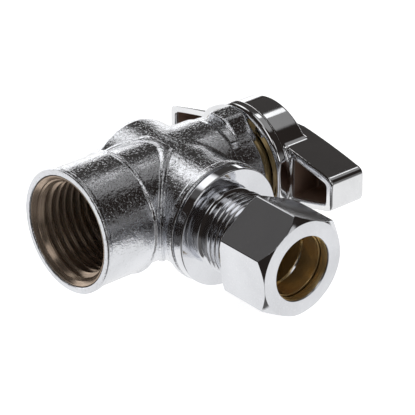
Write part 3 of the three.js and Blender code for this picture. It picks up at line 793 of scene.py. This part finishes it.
def compression_nut():
    near_corner = np.linspace(0, 3, 9)
    between = np.linspace(4, 56, 27)
    sixth = np.concatenate([near_corner, between, 60 - near_corner[:0:-1]])
    angles = np.radians(np.concatenate([sixth + NUT_CORNER_ANGLE + 60 * k for k in range(6)]))
    outer = hexagon_radius(angles)
    corner = NUT_FLATS / math.sqrt(3)
    front, back = NUT_HIGH[0], NUT_LOW[0]
    face = np.minimum(NUT_FACE_R, outer - 0.05)
    front_slope = NUT_CHAMFER / (corner - NUT_FACE_R)
    shoulder = front - np.maximum((outer - NUT_FACE_R) * front_slope, 0.03)
    back_face = np.minimum(corner - NUT_BACK_IN, outer - 0.05)
    back_slope = (outer - corner + NUT_BACK_IN) * NUT_BACK_CHAMFER / NUT_BACK_IN
    back_shoulder = back + np.maximum(back_slope, 0.03)
    same = np.ones_like(outer)
    corners = [(r + NUT_SKIN, x) for r, x in nut_bore()]
    corners[0] = (NUT_HOLE_R + NUT_SKIN, front)
    corners = [corners[0], (face, front), (outer, shoulder), (outer, back_shoulder),
               (back_face, back)] + corners[:0:-1]
    outline = np.stack([np.stack([r * same, x * same], -1) for r, x in corners], -2)
    radii = [0.3, 0.08, 0.1, 0.1, 0.08, 0.1, 0.1, 0.1, 0.1, 0.1, 0.1]
    outline = rounded(outline, radii, 3)
    piece = lathe("compression_nut_hex", outline, MACHINED_CHROME, "X", angles=angles)
    placed(piece, "compression_nut", "nut")


def nut_bore_lining():
    """The bare brass inside of the nut, with its thread in step with the adapter's."""
    inside = nut_bore()
    outside = [(r + 2 * NUT_SKIN, x) for r, x in inside[::-1]]
    thread_r = inside[4][0]
    outline = lengthened(rounded(inside + outside, 0.03, 2), thread_r, 0.06)

    def cut(radius, height, angle):
        crest = ridge(height, angle, TUBE_PITCH) * (TUBE_CREST_R - TUBE_ROOT_R)
        depth = fade(height, NUT_LOW[0] + 1, NUT_THREAD_FULL_X, 0.4)
        inward = (thread_r - TUBE_ROOT_R - NUT_THREAD_GAP - crest) * depth
        return np.where(np.abs(radius - thread_r) < 1e-6, radius - inward, radius)

    piece = lathe("compression_nut_bore", outline, BRASS, "X", 160, cut)
    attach(piece, "nut")


def outlet_bore():
    """The bare brass inside of the adapter's tube."""
    tube, port, end = TUBE_SOCKET_R - BORE_SKIN, PORT_R - BORE_SKIN, ADAPTER_END_X - 1.45
    stop = TUBE_STOP_X + BORE_SKIN
    corners = [[tube, end], [tube, stop], [port, stop], [port, PORT_LINING_X],
               [port + 0.1, PORT_LINING_X],
               [port + 0.1, stop - 0.1], [tube + 0.1, stop - 0.1], [tube + 0.1, end]]
    piece = lathe("outlet_bore", rounded(corners, 0.02, 2), BRASS, "X", 128)
    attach(piece, "valve")


def compression_sleeve():
    bore, out, cone = 6.42, 7.7, 1.7
    low, high = SLEEVE_LOW[0], SLEEVE_HIGH[0]
    outline = rounded([[bore, low], [bore + 0.25, low], [out, low + cone], [out, high - cone],
                       [bore + 0.35, high], [bore, high]], [0.05, 0.05, 0.5, 0.5, 0.1, 0.1])
    piece = lathe("compression_sleeve_turned", outline, BRASS, "X")
    placed(piece, "compression_sleeve", "sleeve")


# ---- lever ----

def tilted(x, z):
    """Coordinates in the lever's own directions."""
    c, s = math.cos(LEVER_TILT), math.sin(LEVER_TILT)
    return x * c - z * s, x * s + z * c


def wing_half(reach, tip):
    """Half the width of a wing at a distance from the axis."""
    along = np.clip((reach - WING_ROOT_X) / (tip - WING_ROOT_X), 0, 1.1)
    straight = WING_ROOT_HALF + (WING_TIP_HALF - WING_ROOT_HALF) * along
    return straight + 4 * WING_BULGE * along * (1 - along)


def handle_distance(x, y, z):
    x, z = tilted(x, z)
    radial = np.hypot(x, z)
    reach = np.abs(x)
    hub = bar(radial, y, HUB_R, SKIRT_FRONT_Y + 0.5, HUB_RIM_Y, 0.5)
    skirt = bar(radial, y, SKIRT_R, SKIRT_FRONT_Y, SKIRT_BACK_Y, 0.8)
    round_part = either(hub, skirt, 0.8)
    tip = np.where(x > 0, WING_TIP_RIGHT, WING_TIP_LEFT)
    sides = np.abs(z - WING_RISE) - wing_half(reach, tip)
    outline = both(sides, reach - tip, 1.4)
    wing = both(outline, np.maximum(WING_FRONT_Y - y, y - WING_BACK_Y), 0.55)
    whole = either(round_part, wing, 0.8)
    pocket_outline = both(sides + WING_WALL, reach - tip + WING_WALL, 0.8)
    pocket_outline = np.maximum(pocket_outline, POCKET_START - reach)
    pocket = both(pocket_outline, y - WING_BACK_Y + WING_ROOF, 0.8)
    pocket = np.maximum(pocket, np.minimum(HUB_R - radial, WING_FRONT_Y - 1 - y))
    recess = bar(radial, y, SKIRT_BORE_R, SKIRT_FRONT_Y - 3, SKIRT_FLOOR_Y, 0.3)
    angle = np.degrees(np.arctan2(z, x)) - STOP_START - math.degrees(LEVER_TILT)
    free = np.abs(np.mod(angle - STOP_GAP / 2 + 180, 360) - 180) - STOP_GAP / 2
    sector = np.maximum(STOP_INNER_R - radial, np.radians(-free) * radial)
    sector = both(sector, SKIRT_FRONT_Y + 0.3 - y, 0.3)
    open_recess = without(recess, sector, 0.3)
    whole = without(whole, pocket, 0.4)
    whole = without(whole, open_recess, 0.3)
    half = STEM_SQUARE / 2 + 0.3
    square = block(x, y, z, (-half, SQUARE_HOLE_Y, -half), (half, PAST_Y, half), 0.2)
    well = bar(radial, y, SCREW_HEAD_R + 0.7, SCREW_SEAT_Y, WELL_TOP_Y, 0.3)
    return without(without(whole, square, 0.15), well, 0.3)


def pocket_shade_share(x, y, z):
    """1 on the walls of the wings' pockets, which get painted shade, 0 on the plated outside, the hub
    and the skirt.
    """
    x, z = tilted(x, z)
    reach = np.abs(x)
    tip = np.where(x > 0, WING_TIP_RIGHT, WING_TIP_LEFT)
    aside = np.maximum(np.abs(z - WING_RISE) - wing_half(reach, tip), reach - tip) + WING_WALL
    pocket = np.maximum(aside, y - WING_BACK_Y + WING_ROOF)
    deep = np.clip((y - WING_FRONT_Y - 0.35) / 0.5, 0, 1)
    return np.where((pocket < 0.2) & (np.hypot(x, z) > HUB_R), deep, 0.0)


def handle():
    piece = carved("lever_handle", handle_distance, HANDLE_LOW, HANDLE_HIGH, LEVER_CELL, LEVER_CHROME)
    count = len(piece.data.vertices)
    places = np.zeros(count * 3)
    piece.data.vertices.foreach_get("co", places)
    # share of painted shade at each point, 1 in the wings' pockets
    inside = pocket_shade_share(*(places.reshape(-1, 3) / MM).T)
    piece.data.attributes.new(POCKET_SHADE, "FLOAT", "POINT").data.foreach_set("value", inside)
    placed(piece, "handle", "lever")


def packing_gland():
    inner, outer, top = 4.4, 9.9, GLAND_HIGH[1]
    outline = rounded([[inner, GLAND_LOW[1]], [GLAND_BORE_R - 0.3, GLAND_LOW[1]],
                       [GLAND_BORE_R - 0.3, JOURNAL_END_Y + 0.2], [outer, JOURNAL_END_Y + 0.2],
                       [outer, top], [inner, top]], [0.1, 0.1, 0.1, 0.25, 0.4, 0.2])
    piece = lathe("packing_gland_turned", outline, GLAND_BRASS)
    placed(piece, "packing_gland", "valve")


# ---- inside the valve ----

def ball_distance(x, y, z):
    y = y - AXES_Y
    whole = np.sqrt(x * x + y * y + z * z) - BALL_R
    inlet = np.maximum(np.hypot(x, z) - BALL_PORT_R, y)
    outlet = np.maximum(np.hypot(y, z) - BALL_PORT_R, -x)
    elbow = np.sqrt(x * x + y * y + z * z) - BALL_PORT_R
    slot = np.maximum(np.abs(z) - TANG_WIDTH / 2 - 0.3, BALL_SLOT_FLOOR - y)
    ports = either(either(inlet, outlet, 0.5), elbow, 0.5)
    return without(without(whole, ports, 0.4), slot, 0.3)


def ball():
    piece = carved("elbow_ball", ball_distance, BALL_LOW, BALL_HIGH, CELL, MACHINED_CHROME)
    placed(piece, "ball", "lever")


def stem_distance(x, y, z):
    x, z = tilted(x, z)
    radial = np.hypot(x, z)
    whole = bar(radial, y, STEM_R, STEM_LOWER_END_Y, STEM_FLANGE_BACK_Y, 0.3)
    for groove_y in STEM_O_RING_YS:
        groove = np.maximum(STEM_R - STEM_GROOVE_DEEP - radial,
                            np.abs(y - groove_y) - STEM_GROOVE_HALF)
        whole = without(whole, groove, 0.15)
    flange = bar(radial, y, STEM_FLANGE_R, STEM_FLANGE_FRONT_Y, STEM_FLANGE_BACK_Y, 0.2)
    shaft = bar(radial, y, STEM_SHAFT_R, STEM_LOWER_END_Y + 1, STEM_SQUARE_Y, 0.5)
    half = STEM_SQUARE / 2
    square = block(x, y, z, (-half, STEM_SQUARE_Y - 2, -half), (half, STEM_HIGH[1], half), 0.35)
    half = TANG_WIDTH / 2
    low = (-TANG_HALF_LONG, STEM_LOW[1], -half)
    high = (TANG_HALF_LONG, STEM_LOWER_END_Y + 0.5, half)
    tang = block(x, y, z, low, high, 0.4)
    whole = either(either(whole, flange, 0.3), either(shaft, square, 0.2), 0.2)
    screw_hole = np.maximum(radial - SCREW_R - 0.25, SCREW_LOW[1] - 0.6 - y)
    return without(either(whole, tang, 0.3), screw_hole, 0.2)


def stem():
    piece = carved("stem_turned", stem_distance, STEM_LOW, STEM_HIGH, CELL, GLAND_BRASS)
    placed(piece, "stem", "lever")


def screw_distance(x, y, z):
    x, z = tilted(x, z)
    radial = np.hypot(x, z)
    crown = np.sqrt(radial ** 2 + (y - SCREW_HIGH[1] + SCREW_CROWN_R) ** 2) - SCREW_CROWN_R
    head = both(bar(radial, y, SCREW_HEAD_R, SCREW_SEAT_Y + 1.1, SCREW_HIGH[1] + 1, 0.4), crown, 0.3)
    threaded = fade(y, SCREW_THREAD_Y, SCREW_SEAT_Y - 1, 0.5)
    depth = (1 - ridge(y, -np.arctan2(z, x), SCREW_PITCH)) * threaded
    ends = np.maximum(SCREW_LOW[1] - y, y - SCREW_SEAT_Y - 2)
    shank = both(radial - SCREW_R + SCREW_THREAD_DEEP * depth, ends, 0.3)
    blades = either(np.maximum(np.abs(x) - RECESS_HALF_LONG, np.abs(z) - RECESS_HALF_WIDE),
                    np.maximum(np.abs(z) - RECESS_HALF_LONG, np.abs(x) - RECESS_HALF_WIDE), 0.3)
    recess = np.maximum(blades + 0.25 * np.clip(SCREW_HIGH[1] - y, 0, 3), SCREW_SEAT_Y + 1.4 - y)
    return without(either(head, shank, 0.3), recess, 0.15)


def handle_screw():
    piece = carved("cross_head_screw", screw_distance, SCREW_LOW, SCREW_HIGH, FINE_CELL, STEEL)
    placed(piece, "handle_screw", "lever")


def lock_washer_distance(x, y, z):
    x, z = tilted(x, z)
    radial = np.hypot(x, z)
    low, high = SCREW_SEAT_Y + 0.2, SCREW_SEAT_Y + 0.9
    split = np.maximum(np.abs(x + 0.8 * (y - low)) - 0.3, -z)
    whole = without(bar(radial, y, SCREW_HEAD_R + 0.2, low, high, 0.12), radial - SCREW_R - 0.6, 0.12)
    return without(whole, split, 0.08)


def screw_lock_washer():
    low, high = extent("screw_lock_washer")
    piece = carved("split_lock_washer", lock_washer_distance, low, high, FINE_CELL, STEEL)
    placed(piece, "screw_lock_washer", "lever")


def seat(node, side):
    """Ring that cups the ball, on the outlet's side (1) or the closed side (-1)."""
    near, far, bore = 3.45, 8.2, PORT_R + 0.1
    cup_x, cup_r = 6.25, 7  # the slope that the ball rests on
    corners = [[bore, cup_x], [cup_r, near], [BARREL_BORE_R - 0.3, near], [BARREL_BORE_R - 0.3, far],
               [6.7, far], [6.4, far - 0.35], [6.1, far], [bore, far]]
    outline = rounded(corners, [0.3, 0.25, 0.3, 0.3, 0.1, 0.2, 0.1, 0.3]) * (1, side)
    placed(lathe(node + "_ring", outline, PTFE, "X", 96), node, "valve")


def round_ring(node, middle, section, height, along, body):
    """An O-ring with the fine line that its mould leaves."""
    turn = np.arange(20) * TURN / 20
    radius = section * (1 + 0.04 * (np.abs(np.sin(turn)) < 0.1))
    outline = np.stack([middle + radius * np.cos(turn), height + radius * np.sin(turn)], -1)
    placed(lathe(node + "_ring", outline, RUBBER, along, 96), node, body)


def neck_ring(node, inner, material, edge):
    low, high = extent(node)
    outline = rounded([[inner, low[1]], [high[0], low[1]], [high[0], high[1]], [inner, high[1]]], edge)
    placed(lathe(node + "_ring", outline, material, "Y", 96), node, "valve")


def hidden_pieces():
    ball()
    stem()
    handle_screw()
    screw_lock_washer()
    seat("outlet_seat", 1)
    seat("back_seat", -1)
    round_ring("adapter_o_ring", FLANGE_O_RING_R, FLANGE_O_RING_SECTION, FLANGE_O_RING_X,
               "X", "valve")
    for node, place in zip(("outlet_seat_o_ring", "back_seat_o_ring"), SEAT_O_RING_XS):
        round_ring(node, SEAT_O_RING_R, SEAT_O_RING_SECTION, place, "X", "valve")
    for node, height in zip(("stem_o_ring_lower", "stem_o_ring_upper"), STEM_O_RING_YS):
        round_ring(node, STEM_R - 0.37, 0.55, height, "Y", "lever")
    neck_ring("stem_thrust_washer", STEM_R + 0.3, PTFE, 0.12)
    neck_ring("stem_packing", STEM_SHAFT_R + 0.2, PTFE, 0.25)
    neck_ring("packing_washer", STEM_SHAFT_R + 0.3, GLAND_BRASS, 0.08)


# ---- stage ----

def add_floor():
    size, gap = 3, 0.0005
    data = bpy.data.meshes.new("floor")
    low = CAD_BOX[0].z - gap
    data.from_pydata([(-size, -size, low), (size, -size, low), (size, size, low), (-size, size, low)],
                     [], [(0, 1, 2, 3)])
    n = Nodes("floor")
    n.shader.inputs["Roughness"].default_value = 0.9
    n.shader.inputs["Base Color"].default_value = (0.9, 0.9, 0.9, 1)
    n.shader.inputs["Emission Color"].default_value = (1, 1, 1, 1)
    n.shader.inputs["Emission Strength"].default_value = 0.85
    data.materials.append(n.material)
    floor = bpy.data.objects.new("floor", data)
    bpy.context.scene.collection.objects.link(floor)
    floor.visible_glossy = False


# Soft boxes of the studio: azimuth, elevation, half width and soft edge in degrees, brightness.
# Azimuth 0 is towards -Y and 90 towards +X, as the camera's is.
STUDIO_ABOVE = (
    ("left backdrop", 268, -10, 38, 4, 1.5),
    ("back backdrop", 215, -20, 31, 2, 1.4),
    ("left box", 265, 50, 7, 12, 1.3),
    ("back box", 200, 51, 3.5, 2, 1.2),
    ("back glow", 182, 57, 15, 6, 0.24),
    ("ceiling", 150, 86, 12, 6, 0.6),
    ("front box", 42, 53, 13, 5, 1.0),
    ("side box", 84, 20, 9, 4, 1.3),
    ("right box", 104, 42, 7, 4, 0.6),
    ("right wall", 118, 4, 14, 10, 0.14),
    ("nut glow", 288, 45, 12, 5, 0.075),
    ("gap glow", 225, 36, 20, 6, 0.03),
)
STUDIO_BELOW = (
    ("table left", 250, -25, 76, 6, 0.97),
    ("table back", 178, -38, 58, 7, 0.93),
    ("table right", 85, -30, 25, 12, 0.25),
    ("table near", 40, -60, 30, 14, 0.1),
)
STUDIO_DARK = (0.022, 0.018, 0.016)


def towards(azimuth, elevation):
    a, e = math.radians(azimuth), math.radians(elevation)
    return Vector((math.sin(a) * math.cos(e), -math.cos(a) * math.cos(e), math.sin(e)))


def boxes_light(tree, place, boxes):
    """The brightest of some round soft boxes in each direction."""
    total = None
    for _, azimuth, elevation, wide, soft, bright in boxes:
        near = tree.nodes.new("ShaderNodeVectorMath")
        near.operation = "DOT_PRODUCT"
        near.inputs[1].default_value = towards(azimuth, elevation)
        tree.links.new(place, near.inputs[0])
        box = tree.nodes.new("ShaderNodeMapRange")
        box.interpolation_type = "SMOOTHSTEP"
        limits = (math.cos(math.radians(wide + soft)), math.cos(math.radians(wide)), 0, bright)
        for socket, number in zip(box.inputs[1:5], limits):
            socket.default_value = number
        tree.links.new(near.outputs["Value"], box.inputs["Value"])
        if total is None:
            total = box.outputs["Result"]
            continue
        widest = tree.nodes.new("ShaderNodeMath")
        widest.operation = "MAXIMUM"
        tree.links.new(total, widest.inputs[0])
        tree.links.new(box.outputs["Result"], widest.inputs[1])
        total = widest.outputs["Value"]
    return total


def mixed_light(tree, share, first, second):
    """A mix of two colours, each a constant or a node's output."""
    mix = tree.nodes.new("ShaderNodeMix")
    mix.data_type = "RGBA"
    mix.clamp_factor = False
    tree.links.new(share, mix.inputs["Factor"])
    for name, colour in (("A", first), ("B", second)):
        if isinstance(colour, tuple):
            mix.inputs[name].default_value = (*colour, 1)
        else:
            tree.links.new(colour, mix.inputs[name])
    return mix.outputs["Result"]


def add_world():
    """A dark studio with soft boxes and a lit table for the chrome to reflect.

    The camera itself sees plain white behind the valve."""
    world = bpy.data.worlds.new("studio")
    world.use_nodes = True
    bpy.context.scene.world = world
    tree = world.node_tree
    place = tree.nodes.new("ShaderNodeTexCoord").outputs["Generated"]
    white = (1, 1, 1)
    above = mixed_light(tree, boxes_light(tree, place, STUDIO_ABOVE), STUDIO_DARK, white)
    below = mixed_light(tree, boxes_light(tree, place, STUDIO_BELOW), STUDIO_DARK, white)
    split = tree.nodes.new("ShaderNodeSeparateXYZ")
    tree.links.new(place, split.inputs[0])
    horizon = tree.nodes.new("ShaderNodeMapRange")
    for socket, number in zip(horizon.inputs[1:5], (0.0, -0.14, 0, 1)):
        socket.default_value = number
    tree.links.new(split.outputs["Z"], horizon.inputs["Value"])
    studio = mixed_light(tree, horizon.outputs["Result"], above, below)
    seen = tree.nodes.new("ShaderNodeLightPath").outputs["Is Camera Ray"]
    background = tree.nodes["Background"]
    tree.links.new(mixed_light(tree, seen, studio, white), background.inputs["Color"])
    background.inputs["Strength"].default_value = 1


def add_overhead():
    """A wide soft light for the floor and the matt pieces, which the chrome doesn't mirror."""
    data = bpy.data.lights.new("overhead", "AREA")
    data.size = 2.5
    data.energy = 3
    light = bpy.data.objects.new("overhead", data)
    bpy.context.scene.collection.objects.link(light)
    light.location = (0, AXES_Y * MM, 1.5)
    light.visible_glossy = False
    light.visible_camera = False


bpy.context.scene.view_settings.view_transform = "Standard"
add_camera()
valve_body()
inlet_thread()
outlet_adapter()
compression_nut()
compression_sleeve()
handle()
packing_gland()
nut_bore_lining()
outlet_bore()
hidden_pieces()
add_floor()
add_world()
add_overhead()
